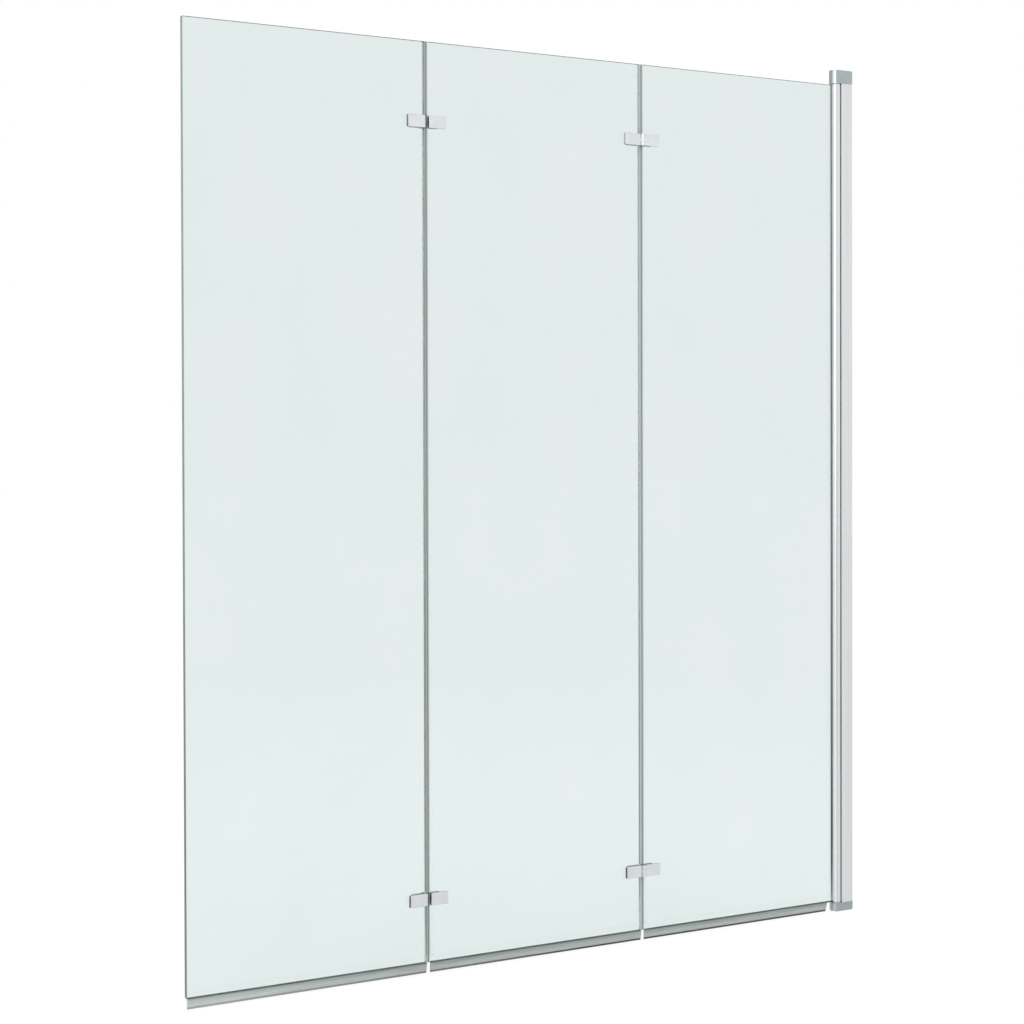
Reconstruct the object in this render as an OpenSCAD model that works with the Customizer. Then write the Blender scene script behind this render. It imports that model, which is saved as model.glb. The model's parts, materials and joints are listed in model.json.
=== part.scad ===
// Folding bath screen: three glass leaves on slim hinges, swinging on a profile at the wall.
// Millimetres, +Z up. X = 0 is the wall, the screen reaches towards -X, and -Y is its front.
// The origin is the centre of the face that lies on the wall.

/* [Overall] */
// Width of the screen, from the wall to its free edge
screen_w = 1300; // [1000:1:1500]
// Length of the wall profile, between its two caps
profile_h = 1342; // [1100:1:1700]

/* [Glass] */
// Thickness of the glass
glass_t = 5; // [4:0.5:6]
// Gap between two panes
pane_gap = 7; // [6:0.5:8]
// Ground edge of each pane, measured square to its face
arris = 0.5; // [0.2:0.1:1]
// Radius of a pane's corners
pane_corner_r = 2; // [1:0.5:5]
// Radius of the holes for the hinge screws
glass_hole_r = 6; // [5:0.5:7]

/* [Wall profile] */
// How far the wall profile stands off the wall
wall_d = 25; // [22:1:40]
// Width of the wall profile, front to back
wall_w = 26.5; // [25:0.5:32]
// Wall thickness of the wall profile
wall_t = 1.6; // [1.2:0.1:2]
// Radius of the four holes for the wall screws
wall_hole_r = 2.75; // [2:0.05:3.5]
// Height of the inner pair of wall screws above and below the middle
wall_hole_inner = 200; // [100:1:300]
// Inset of the outer pair of wall screws from half the length of the profile
wall_hole_inset = 71; // [40:1:150]

/* [Adjusting profile] */
// Wall thickness of the adjusting profile's flanges
adjust_t = 1.4; // [1:0.1:1.8]
// Thickness of its curved web, which the pivot profile turns in
adjust_web_t = 1.5; // [1:0.1:2]
// Gap between its open edges and the back of the wall profile
adjust_back = 2.4; // [1:0.1:3]
// Height of the outer adjusting screws above and below the middle one
adjust_screw_pitch = 450; // [300:1:500]

/* [Pivot profile] */
// Reach of the pivot profile from its axis to its end face
nose_reach = 6.1; // [5.8:0.1:7]
// Chamfer between that face and the front
nose_cut = 3.5; // [3:0.1:5]
// How far behind the middle of the glass the end face ends, or in front of it if below zero
nose_back = -0.6; // [-1:0.1:3]
// Angle between the slanting face behind it and the glass
nose_slant = 50; // [46:1:60]
// Wall thickness of the pivot profile
pivot_t = 1.5; // [1:0.1:2]
// Depth of the slot that holds the glass
slot_deep = 11; // [9:0.5:12]
// Thickness of the walls round that slot
slot_wall = 1.3; // [1:0.1:1.6]
// Space that the end of the pivot profile leaves below each cap
end_gap = 2; // [1.8:0.1:3]
// Gap between the turning profile and what stands round it
swing_clear = 0.4; // [0.3:0.05:0.8]

/* [Caps and pivots] */
// Height of the top cap
top_cap_h = 22; // [16:1:40]
// Height of the bottom cap
bottom_cap_h = 14; // [12:1:24]
// Wall thickness of the caps
cap_t = 2; // [1.5:0.1:2.5]
// Chamfer on the outer edges of the caps
cap_edge = 0.8; // [0.4:0.1:1.2]
// Length of the spigot that holds a cap in the adjusting profile
spigot_len = 25; // [22:1:40]
// Radius of the pivot journals
journal_r = 2.2; // [2:0.1:2.4]
// Wall thickness of the pivot bushes
bush_t = 0.8; // [0.7:0.1:1]
// Thickness of the bush flange that takes the weight of the leaves
bush_flange_t = 1; // [0.8:0.1:1.5]
// Length of the two prongs that hold a pivot plug in its profile
prong_len = 20; // [12:1:40]
// Thickness of those prongs
prong_t = 3; // [2:0.1:3.5]

/* [Hinges] */
// Width of one hinge plate in front
plate_w = 31; // [26:1:40]
// Rim that the narrower plate at the back leaves beyond its screw head
back_rim = 1.2; // [0.8:0.1:4]
// Height of a hinge plate
plate_h = 18; // [16:1:30]
// Thickness of a hinge plate
plate_t = 4; // [3.5:0.1:5]
// Thickness of the pads between plates and glass
pad_t = 1; // [0.5:0.1:1.5]
// Radius of a hinge barrel
barrel_r = 4.4; // [3.8:0.1:4.6]
// Radius of a hinge pin
pin_r = 2; // [1.5:0.1:2.4]
// Height of the middle one of a hinge's three barrels
mid_barrel_h = 6.6; // [5:0.1:9]
// Middle of the upper hinges, below the top of the glass
upper_hinge_down = 116; // [80:1:250]
// Middle of the lower hinges, above the bottom of the glass
lower_hinge_up = 92; // [60:1:250]
// Chamfer on the edges of the hinge plates
plate_edge = 0.4; // [0.2:0.1:0.8]
// Radius of the hinge screws
screw_r = 2.5; // [2:0.1:2.5]

/* [Seals] */
// How far the bottom seals hang below the glass
seal_drop = 15.5; // [10:0.5:15.5]
// Height of the clip that grips the glass
seal_grip = 10; // [6:0.5:14]
// Wall thickness of the seals
seal_t = 0.8; // [0.6:0.1:1.2]
// Thickness of a seal's hanging blade
blade_t = 1.2; // [0.8:0.1:1.6]
// Radius of the bead along the blade's lower edge
bead_r = 1; // [0.9:0.1:2]
// Reach of the clip of an upright seal over the glass
joint_grip = 8; // [5:0.5:12]
// Reach of an upright seal's lip over the next pane
lip_reach = 5; // [3:0.5:8]
// Distance by which a bottom seal's lower end slants back
seal_slant = 2.5; // [0:0.5:6]
// How far the blades of the middle and outer leaf stand out into the joints
blade_out = 4; // [0:0.1:5]
// Distance of the bottom seals from the free side of their panes
seal_end_inset = 2.4; // [0.5:0.1:5]

/* [Small screws] */
// Radius of the adjusting and cap screws
small_screw_r = 2; // [1.5:0.1:2.2]
// Radius of their heads
small_head_r = 3.6; // [3:0.1:4]
// Height of their heads
small_head_h = 2.2; // [1.5:0.1:2.5]

/* [Hidden] */
$fn = 64;
// Overlap of cutting bodies, so that no skin is left
eps = 0.01;
// How far a body that clips or cuts right through reaches past the piece
past = 1;

// Clearances
fit = 0.05;         // between pieces that are pressed or clipped together
turn_fit = 0.05;    // between a journal and its bush
pin_hold = 0.02;    // round a hinge pin in the barrels that hold it
pin_turn = 0.06;    // round a hinge pin in the barrel that turns on it
slide_fit = 0.3;    // between the adjusting profile and the wall profile
leaf_clear = 0.3;   // between pieces of two leaves
hole_clear = 0.2;   // round a screw in a clearance hole
end_play = 0.5;     // past the end of a journal, a bush or a cap screw
spigot_fit = 0.35;  // between a cap's spigot and the flanges of the adjusting profile

// Levels
screen_h = profile_h + top_cap_h + bottom_cap_h;
wall_z0 = -screen_h / 2 + bottom_cap_h;
wall_z1 = wall_z0 + profile_h;
leaf_z0 = wall_z0 + end_gap;
leaf_z1 = wall_z1 - end_gap;
seal_z0 = leaf_z0 - seal_drop;

// Sections of the profiles. The pivot axis stands just far enough off the wall profile
// for the turning nose to pass its edges.
half_w = wall_w / 2;
nose_swing = norm([nose_reach - nose_cut, half_w]);
cap_reach = max(nose_swing, half_w);
swing_r = cap_reach + swing_clear;
pivot_set = ceil(10 * sqrt(pow(swing_r, 2) - pow(half_w - wall_t, 2))) / 10;
pivot_x = -(wall_d + pivot_set);
nose_x = pivot_x - nose_reach;
adjust_y1 = half_w - wall_t - slide_fit;
adjust_y0 = adjust_y1 - adjust_t;
adjust_x1 = -(wall_t + adjust_back);
adjust_end_gap = 1;
adjust_front_gap = 0.5;
adjust_x0 = -wall_d + adjust_front_gap;
wall_hole_outer = profile_h / 2 - wall_hole_inset;

// Glass slot and gasket
gasket_t = 1;
gasket_y0 = glass_t / 2 + fit;
gasket_y1 = gasket_y0 + gasket_t;
slot_y = gasket_y1 + fit;
slot_x = nose_x + slot_deep;
gasket_x = slot_x - fit;
rib_t = 1.3;

// Panes, counted from the wall. The inner one shows a little more than the others.
inner_extra = 2.3;
pane_w = (screen_w + nose_x - inner_extra - 2 * pane_gap) / 3;
pane_h = leaf_z1 - leaf_z0;
inner_x1 = gasket_x - gasket_t - fit;
inner_x0 = nose_x - inner_extra - pane_w;
middle_x1 = inner_x0 - pane_gap;
middle_x0 = middle_x1 - pane_w;
outer_x1 = middle_x0 - pane_gap;
outer_x0 = outer_x1 - pane_w;

// Hinges. The inner joint folds towards the front, the outer joint towards the back.
INNER = 0;
OUTER = 1;
edge_u = pane_gap / 2;
plate_y0 = glass_t / 2 + pad_t;
plate_y1 = plate_y0 + plate_t;
axis_lift = 0.5;
axis_y = plate_y1 + axis_lift;
screw_u = edge_u + plate_w / 2;
barrel_gap = 0.2;
plate_corner_r = 0.8;
thread_skin = 1;
countersink = 2.1;
thread_end_gap = 0.2;
head_r = screw_r + hole_clear + countersink;
back_plate_w = plate_w / 2 + head_r + back_rim;
hex_r = 1.7;
hex_deep = 1.6;
upper_z = leaf_z1 - upper_hinge_down;
lower_z = leaf_z0 + lower_hinge_up;
hinge_levels = [lower_z, upper_z];
seal_hinge_gap = 1;
pad_inset = 0.5;

// Bush, journal and plug, measured outwards from the end of the wall profile
bush_r = journal_r + turn_fit + bush_t;
bush_flange_w = 0.6;
bush_flange_r = bush_r + bush_flange_w;
bush_proud = 0.1;
boss_wall = 2;
plug_clear = 0.3;
plug_inset = 0.25;
prong_set = 3.5;
prong_w = 3.5;
bush_end = min(top_cap_h, bottom_cap_h) - cap_t - end_play;
journal_end = bush_end - end_play;

// Spigot and small screws
spigot_front_gap = 2;
spigot_back_gap = 1;
spigot_x0 = pivot_x + swing_r + adjust_web_t + spigot_front_gap;
spigot_x1 = adjust_x1 - spigot_back_gap;
spigot_y = adjust_y0 - spigot_fit;
small_screw_x = (spigot_x0 + spigot_x1) / 2;
cap_screw_in = spigot_len / 2;
cap_screw_len = 10;
screw_tip = 1.5;
adjust_screw_len = wall_t + slide_fit + adjust_t + screw_tip;
cover_t = 0.8;
cover_gap = 0.2;
cover_r = small_head_r + cover_gap + cover_t;
cover_h = small_head_h + cover_gap + cover_t;
cross_w = 0.8;
cross_len = 3.6;
cross_deep = 1.2;

// Seals
seal_y0 = glass_t / 2 + fit;
seal_y1 = seal_y0 + seal_t;
clip_floor = 1.2;
clip_z0 = leaf_z0 - fit - clip_floor;
clip_z1 = leaf_z0 + seal_grip;
fin_reach = 3.2;
fin_fall = 7;
fin_set = 6;
core_proud = 0.15;
wall_end_slant = 2 * seal_slant;
inner_blade_end = pivot_x - cap_reach - leaf_clear;

aluminium = "#dfe2e2";
satin = "#a8b4b4";
chrome = "#e6e8e8";
steel = "#b9bcbe";
pvc = "#b8c2bf";
nylon = "#f2f2ee";
glass_tint = [0.85, 0.93, 0.91, 0.6];

function joint_x(joint) = inner_x0 - edge_u - joint * (pane_w + pane_gap);

// ---- Helpers ----

// Moves its children to the middle of a joint, with their +Y towards the hinge axis
module at_joint(joint, z) {
    translate([joint_x(joint), 0, z])
        mirror([0, joint == INNER ? 1 : 0, 0])
            children();
}

// Moves its children, drawn outwards from an end of the wall profile, to its top or its bottom
module at_end(top) {
    translate([0, 0, top ? wall_z1 : wall_z0])
        mirror([0, 0, top ? 0 : 1])
            children();
}

// Gives an outline in X and Z a thickness from y0 to y1
module slab(y0, y1) {
    translate([0, y1, 0])
        rotate([90, 0, 0])
            linear_extrude(y1 - y0)
                children();
}

// Draws an outline in Y and Z along X, from x0 to x1
module run(x0, x1) {
    translate([x0, 0, 0])
        rotate([90, 0, 90])
            linear_extrude(x1 - x0)
                children();
}

// Cylinder along Y
module rod(r, y0, y1) {
    translate([0, y1, 0])
        rotate([90, 0, 0])
            cylinder(r = r, h = y1 - y0);
}

// Rectangle with round corners
module soft_rectangle(x0, x1, z0, z1, r) {
    translate([x0 + r, z0]) square([x1 - x0 - 2 * r, z1 - z0]);
    translate([x0, z0 + r]) square([x1 - x0, z1 - z0 - 2 * r]);
    for (x = [x0 + r, x1 - r])
        for (z = [z0 + r, z1 - r])
            translate([x, z]) circle(r);
}

// Rectangle with its corners cut off at 45 degrees
module cut_rectangle(x0, x1, y0, y1, c) {
    polygon([
        [x0 + c, y0], [x1 - c, y0], [x1, y0 + c], [x1, y1 - c],
        [x1 - c, y1], [x0 + c, y1], [x0, y1 - c], [x0, y0 + c]
    ]);
}

// What the chamfer in front of the nose cuts off, for an outline smaller by inset
module front_cut(inset) {
    translate([nose_x, nose_cut - half_w])
        rotate(-45)
            translate([-wall_w, inset - 2 * wall_w])
                square([3 * wall_w, 2 * wall_w]);
}

// What the slanting face at its back cuts off
module back_cut(inset) {
    translate([nose_x, nose_back])
        rotate(nose_slant)
            translate([-wall_w, -inset])
                square([3 * wall_w, 2 * wall_w]);
}

// Outline from the nose to x1, drawn smaller by inset: a chamfered corner in front, a slanting
// face at the back, and square at x1
module nose_outline(x1, inset) {
    difference() {
        translate([nose_x + inset, inset - half_w])
            square([x1 - nose_x - inset, wall_w - 2 * inset]);
        front_cut(inset);
        back_cut(inset);
    }
}

// Outline of the pivot profile, drawn smaller by inset: half a circle on its turning side
module pivot_outline(inset) {
    nose_outline(pivot_x, inset);
    difference() {
        intersection() {
            translate([pivot_x, 0]) circle(half_w - inset);
            translate([pivot_x - eps, -half_w]) square([half_w + past, wall_w]);
        }
        back_cut(inset);
    }
}

// ---- At the wall ----

module wall_profile() {
    color(aluminium)
    difference() {
        translate([0, 0, wall_z0])
            linear_extrude(profile_h)
                difference() {
                    translate([-wall_d, -half_w]) square([wall_d, wall_w]);
                    translate([-wall_d - eps, -half_w + wall_t])
                        square([wall_d - wall_t + eps, wall_w - 2 * wall_t]);
                }
        for (z = [-wall_hole_outer, -wall_hole_inner, wall_hole_inner, wall_hole_outer])
            translate([-wall_t - eps, 0, z])
                rotate([0, 90, 0])
                    cylinder(r = wall_hole_r, h = wall_t + 2 * eps);
        small_screw_holes(half_w - wall_t - eps, half_w + eps);
    }
}

module adjusting_profile() {
    color(aluminium)
    difference() {
        translate([0, 0, wall_z0 + adjust_end_gap])
            linear_extrude(profile_h - 2 * adjust_end_gap)
                difference() {
                    union() {
                        for (side = [-1, 1])
                            translate([adjust_x0, side > 0 ? adjust_y0 : -adjust_y1])
                                square([adjust_x1 - adjust_x0, adjust_t]);
                        intersection() {
                            translate([pivot_x, 0]) circle(swing_r + adjust_web_t);
                            translate([adjust_x0, -adjust_y1])
                                square([wall_d, 2 * adjust_y1]);
                        }
                    }
                    translate([pivot_x, 0]) circle(swing_r);
                }
        small_screw_holes(adjust_y0 - eps, adjust_y1 + eps);
    }
}

// Places of the adjusting screws and the cap screws, all at the back
module at_adjusting_screws() {
    for (i = [-1 : 1])
        translate([small_screw_x, 0, i * adjust_screw_pitch])
            children();
}

module at_cap_screws() {
    for (z = [wall_z0 + cap_screw_in, wall_z1 - cap_screw_in])
        translate([small_screw_x, 0, z])
            children();
}

module small_screw_holes(y0, y1) {
    at_adjusting_screws() rod(small_screw_r + hole_clear, y0, y1);
    at_cap_screws() rod(small_screw_r + hole_clear, y0, y1);
}

// Pan-head screw along Y with its head on the back of the wall profile
module small_screw(len) {
    difference() {
        union() {
            rod(small_screw_r, half_w - len, half_w + eps);
            rod(small_head_r, half_w, half_w + small_head_h);
        }
        for (turn = [0, 90])
            translate([0, half_w + small_head_h, 0])
                rotate([0, turn, 0])
                    cube([cross_len, 2 * cross_deep, cross_w], center = true);
    }
}

module adjusting_screws() {
    color(steel)
    at_adjusting_screws() small_screw(adjust_screw_len);
}

module cap_screws() {
    color(steel)
    at_cap_screws() small_screw(cap_screw_len);
}

module screw_cover() {
    translate([0, half_w, 0])
        rotate([-90, 0, 0])
            rotate_extrude()
                polygon([
                    [cover_r - cover_t, 0], [cover_r, 0], [cover_r, cover_h - cover_t],
                    [cover_r - cover_t, cover_h], [0, cover_h], [0, cover_h - cover_t],
                    [cover_r - cover_t, cover_h - cover_t]
                ]);
}

module screw_covers() {
    color(chrome) {
        at_adjusting_screws() screw_cover();
        at_cap_screws() screw_cover();
    }
}

// Cap over both profiles, with a boss for the pivot bush and a spigot for its screw
module cap(cap_h) {
    boss_r = bush_r + fit + boss_wall;
    difference() {
        union() {
            intersection() {
                difference() {
                    linear_extrude(cap_h) nose_outline(0, 0);
                    translate([0, 0, -eps])
                        linear_extrude(cap_h - cap_t + eps) nose_outline(-cap_t, cap_t);
                }
                run(nose_x - past, past)
                    cut_top(-half_w, half_w, cap_h);
                slab(-half_w - past, half_w + past)
                    cut_top(nose_x, 0, cap_h);
            }
            intersection() {
                linear_extrude(cap_h - cap_t / 2) nose_outline(0, 0);
                translate([pivot_x, 0, 0]) cylinder(r = boss_r, h = cap_h);
            }
            translate([spigot_x0, -spigot_y, -spigot_len])
                cube([spigot_x1 - spigot_x0, 2 * spigot_y, spigot_len + cap_h - cap_t / 2]);
        }
        translate([pivot_x, 0, -eps])
            cylinder(r = bush_r + fit, h = bush_end + end_play + eps);
        translate([pivot_x, 0, -eps])
            cylinder(r = bush_flange_r + fit, h = bush_flange_t - bush_proud + eps);
        translate([small_screw_x, 0, -cap_screw_in])
            rod(small_screw_r + fit, half_w - cap_screw_len - end_play, spigot_y + eps);
    }
}

// Side view of a cap: square at its open side, chamfered at its closed side
module cut_top(x0, x1, cap_h) {
    polygon([
        [x0, 0], [x1, 0], [x1, cap_h - cap_edge],
        [x1 - cap_edge, cap_h], [x0 + cap_edge, cap_h], [x0, cap_h - cap_edge]
    ]);
}

module top_cap() {
    color(satin)
    at_end(true) cap(top_cap_h);
}

module bottom_cap() {
    color(satin)
    at_end(false) cap(bottom_cap_h);
}

module pivot_bush() {
    translate([pivot_x, 0, 0])
        difference() {
            union() {
                translate([0, 0, -bush_proud])
                    cylinder(r = bush_flange_r, h = bush_flange_t);
                translate([0, 0, -bush_proud])
                    cylinder(r = bush_r, h = bush_end + bush_proud);
            }
            translate([0, 0, -bush_proud - eps])
                cylinder(r = journal_r + turn_fit, h = bush_end + bush_proud + 2 * eps);
        }
}

module top_pivot_bush() {
    color(nylon)
    at_end(true) pivot_bush();
}

module bottom_pivot_bush() {
    color(nylon)
    at_end(false) pivot_bush();
}

// ---- Inner leaf, on the pivot ----

module pivot_profile() {
    color(aluminium)
    translate([0, 0, leaf_z0])
        linear_extrude(pane_h)
            difference() {
                pivot_outline(0);
                difference() {
                    pivot_outline(pivot_t);
                    translate([nose_x, -slot_y - slot_wall])
                        square([slot_deep + slot_wall, 2 * (slot_y + slot_wall)]);
                    translate([slot_x, -rib_t / 2])
                        square([half_w + nose_reach, rib_t]);
                }
                translate([nose_x - past, -slot_y]) square([slot_deep + past, 2 * slot_y]);
            }
}

// End plate with two prongs in the profile's side chambers and a journal in the bush
module pivot_plug() {
    prong_y = slot_y + slot_wall + leaf_clear;
    translate([0, 0, -end_gap])
        linear_extrude(end_gap - plug_clear) pivot_outline(plug_inset);
    for (side = [-1, 1])
        translate([
            pivot_x + prong_set, side > 0 ? prong_y : -prong_y - prong_t, -end_gap - prong_len
        ])
            cube([prong_w, prong_t, prong_len + eps]);
    translate([pivot_x, 0, -end_gap])
        cylinder(r = journal_r, h = end_gap + journal_end);
}

module top_pivot_plug() {
    color(steel)
    at_end(true) pivot_plug();
}

module bottom_pivot_plug() {
    color(steel)
    at_end(false) pivot_plug();
}

module glazing_gasket() {
    color(pvc)
    translate([0, 0, leaf_z0])
        linear_extrude(pane_h)
            difference() {
                translate([nose_x, -gasket_y1])
                    square([gasket_x - nose_x, 2 * gasket_y1]);
                translate([nose_x - eps, -gasket_y0])
                    square([gasket_x - gasket_t - nose_x + eps, 2 * gasket_y0]);
                back_cut(0);
            }
}

// ---- Glass ----

// Pane with ground edges and holes for the hinges at the given places along X
module pane(x0, x1, holes_x) {
    difference() {
        intersection() {
            slab(-glass_t / 2, glass_t / 2)
                soft_rectangle(x0, x1, leaf_z0, leaf_z1, pane_corner_r);
            translate([0, 0, leaf_z0 - past])
                linear_extrude(pane_h + 2 * past)
                    cut_rectangle(x0, x1, -glass_t / 2, glass_t / 2, arris);
            run(x0 - past, x1 + past)
                cut_rectangle(-glass_t / 2, glass_t / 2, leaf_z0, leaf_z1, arris);
        }
        for (x = holes_x)
            for (z = hinge_levels)
                translate([x, 0, z])
                    rod(glass_hole_r, -glass_t, glass_t);
    }
}

module inner_glass() {
    color(glass_tint)
    pane(inner_x0, inner_x1, [joint_x(INNER) + screw_u]);
}

module middle_glass() {
    color(glass_tint)
    pane(middle_x0, middle_x1, [joint_x(INNER) - screw_u, joint_x(OUTER) + screw_u]);
}

module outer_glass() {
    color(glass_tint)
    pane(outer_x0, outer_x1, [joint_x(OUTER) - screw_u]);
}

// ---- Seals ----

// Section of a bottom seal: a clip round the glass, a hanging blade with a bead along its edge,
// and a slanting fin at the back
module bottom_seal_section() {
    bead_z = seal_z0 + bead_r;
    fin_y = seal_y1 + fin_reach;
    fin_z = clip_z0 - fin_fall;
    polygon([
        [-seal_y1, clip_z1], [-seal_y1, clip_z0],
        [-blade_t / 2, clip_z0], [-blade_t / 2, bead_z],
        [blade_t / 2, bead_z], [blade_t / 2, clip_z0],
        [seal_y1 - seal_t, clip_z0], [fin_y - seal_t, fin_z], [fin_y, fin_z],
        [seal_y1, clip_z0], [seal_y1, clip_z1], [seal_y0, clip_z1],
        [seal_y0, leaf_z0 - fit], [-seal_y0, leaf_z0 - fit], [-seal_y0, clip_z1]
    ]);
    translate([0, bead_z]) circle(bead_r);
}

// Bottom seal from x0 to x1. Its clip ends at x1 and its blade at blade_x1, slanting back.
// Its fin starts a little way in from x0.
module bottom_seal(x0, x1, blade_x1, slant) {
    difference() {
        intersection() {
            run(x0, max(x1, blade_x1)) bottom_seal_section();
            slab(-half_w, half_w)
                polygon([
                    [x0, seal_z0], [blade_x1 - slant, seal_z0], [blade_x1, clip_z0],
                    [x1, clip_z0], [x1, clip_z1], [x0, clip_z1]
                ]);
        }
        translate([x0 - eps, blade_t, clip_z0 - fin_fall - eps])
            cube([fin_set + eps, seal_y1 + fin_reach, fin_fall + eps]);
    }
}

module inner_bottom_seal() {
    color(pvc)
    bottom_seal(inner_x0 + seal_end_inset, nose_x - leaf_clear, inner_blade_end, wall_end_slant);
}

module middle_bottom_seal() {
    color(pvc)
    bottom_seal(middle_x0 + seal_end_inset, middle_x1, middle_x1 + blade_out, seal_slant);
}

module outer_bottom_seal() {
    color(pvc)
    bottom_seal(outer_x0 + seal_end_inset, outer_x1, outer_x1 + blade_out, seal_slant);
}

// Core of the upright seal on the wall-side pane of a joint, drawn with +Y towards the hinge axis
module joint_seal_core(z0, z1) {
    core_y = glass_t / 2 + core_proud;
    translate([-edge_u + leaf_clear, -core_y, z0])
        cube([pane_gap - leaf_clear - fit, 2 * core_y, z1 - z0]);
}

// Its clip round the pane, and its lip over the next pane
module joint_seal_arms(z0, z1) {
    lip_y = seal_y1 + leaf_clear;
    translate([edge_u - fit - seal_t, -seal_y1, z0])
        cube([seal_t, 2 * seal_y1, z1 - z0]);
    for (side = [-1, 1])
        translate([edge_u - fit - seal_t, side > 0 ? seal_y0 : -seal_y1, z0])
            cube([joint_grip + seal_t, seal_t, z1 - z0]);
    translate([-edge_u - lip_reach, -lip_y, z0])
        cube([lip_reach + leaf_clear + seal_t, seal_t, z1 - z0]);
    translate([-edge_u + leaf_clear, -lip_y, z0])
        cube([seal_t, lip_y, z1 - z0]);
}

module joint_seal(joint) {
    keep = plate_h / 2 + seal_hinge_gap;
    arms_start = clip_z1 + leaf_clear;
    for (piece = [
        [leaf_z0, lower_z - keep], [lower_z + keep, upper_z - keep], [upper_z + keep, leaf_z1]
    ])
        at_joint(joint, 0) {
            joint_seal_core(piece[0], piece[1]);
            joint_seal_arms(max(piece[0], arms_start), piece[1]);
        }
}

module inner_joint_seal() {
    color(pvc)
    joint_seal(INNER);
}

module middle_joint_seal() {
    color(pvc)
    joint_seal(OUTER);
}

// ---- Hinges ----

// Hinge plate of width w with chamfered edges, from the edge of the glass outwards, at y0 to y1
module plate(w, y0, y1) {
    intersection() {
        slab(y0, y1)
            soft_rectangle(edge_u, edge_u + w, -plate_h / 2, plate_h / 2, plate_corner_r);
        translate([0, 0, -plate_h])
            linear_extrude(2 * plate_h)
                cut_rectangle(edge_u, edge_u + w, y0, y1, plate_edge);
        run(0, edge_u + w + 1)
            cut_rectangle(y0, y1, -plate_h / 2, plate_h / 2, plate_edge);
    }
}

// The back of the screen is the hinge side of the outer joint, and the other side of the inner one
function at_back(joint, hinge_side) = (joint == OUTER) == hinge_side;

function width_of_plate(joint, hinge_side) = at_back(joint, hinge_side) ? back_plate_w : plate_w;

// What the hinge screw cuts out of the back plate, which takes its countersunk head
module head_cut() {
    translate([screw_u, 0, 0]) {
        rod(screw_r + hole_clear, plate_y0 - eps, plate_y1 + eps);
        translate([0, plate_y1 - countersink, 0])
            rotate([-90, 0, 0])
                cylinder(r1 = head_r - countersink, r2 = head_r + eps, h = countersink + eps);
    }
}

// What it cuts out of the front plate, which it screws into
module thread_cut() {
    translate([screw_u, 0, 0])
        rod(screw_r + fit, -plate_y1 + thread_skin, -plate_y0 + eps);
}

// Cut for the hinge screw in a plate on the hinge side of a joint, or on its other side.
// Screw heads are always at the back.
module screw_cut(joint, hinge_side) {
    mirror([0, joint == INNER ? 1 : 0, 0]) {
        if (at_back(joint, hinge_side)) head_cut();
        if (!at_back(joint, hinge_side)) thread_cut();
    }
}

// Barrels of one leaf: the middle one, or the two outer ones
module barrels(middle, r, gap) {
    mid = mid_barrel_h / 2;
    if (middle)
        translate([0, axis_y, -mid - gap])
            cylinder(r = r, h = mid_barrel_h + 2 * gap);
    if (!middle)
        for (side = [-1, 1])
            mirror([0, 0, side > 0 ? 0 : 1])
                translate([0, axis_y, mid + barrel_gap - gap])
                    cylinder(r = r, h = plate_h / 2 - mid - barrel_gap + 2 * gap);
}

// Arms from the plate to the same barrels
module arms(middle) {
    mid = mid_barrel_h / 2;
    y0 = axis_y - barrel_r;
    if (middle)
        translate([0, y0, -mid])
            cube([edge_u + plate_edge + eps, plate_y1 - y0, mid_barrel_h]);
    if (!middle)
        for (side = [-1, 1])
            mirror([0, 0, side > 0 ? 0 : 1])
                translate([0, y0, mid + barrel_gap])
                    cube([edge_u + 1, plate_y1 - y0, plate_h / 2 - mid - barrel_gap - plate_edge]);
}

// Hinge plate with barrels. The leaf nearer the wall has the outer barrels and holds the pin.
module knuckle(joint, level, wall_leaf) {
    at_joint(joint, hinge_levels[level])
        mirror([wall_leaf ? 0 : 1, 0, 0])
            difference() {
                union() {
                    difference() {
                        plate(width_of_plate(joint, true), plate_y0, plate_y1);
                        barrels(wall_leaf, barrel_r + leaf_clear, barrel_gap);
                    }
                    arms(!wall_leaf);
                    barrels(!wall_leaf, barrel_r, 0);
                }
                translate([0, axis_y, -plate_h])
                    cylinder(r = pin_r + (wall_leaf ? pin_hold : pin_turn), h = 2 * plate_h);
                screw_cut(joint, true);
            }
}

module hinge_knuckle(joint, level, wall_leaf) {
    color(chrome)
    knuckle(joint, level, wall_leaf);
}

// Plain plate on the other side of the glass
module hinge_cover(joint, level, wall_leaf) {
    color(chrome)
    at_joint(joint, hinge_levels[level])
        mirror([wall_leaf ? 0 : 1, 0, 0])
            difference() {
                plate(width_of_plate(joint, false), -plate_y1, -plate_y0);
                screw_cut(joint, false);
            }
}

module hinge_pin(joint, level) {
    color(steel)
    at_joint(joint, hinge_levels[level])
        translate([0, axis_y, -plate_h / 2])
            cylinder(r = pin_r, h = plate_h);
}

// Countersunk socket screw from the back plate through the glass into the front plate
module hinge_screw() {
    difference() {
        union() {
            rod(screw_r, -plate_y1 + thread_skin + thread_end_gap, plate_y1 - eps);
            translate([0, plate_y1 - countersink, 0])
                rotate([-90, 0, 0])
                    cylinder(r1 = screw_r, r2 = screw_r + countersink, h = countersink);
        }
        translate([0, plate_y1 - hex_deep, 0])
            rotate([-90, 0, 0])
                cylinder(r = hex_r, h = hex_deep + eps, $fn = 6);
    }
}

module glass_sleeve() {
    difference() {
        rod(glass_hole_r - hole_clear, -glass_t / 2, glass_t / 2);
        rod(screw_r + hole_clear, -glass_t, glass_t);
    }
}

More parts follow.
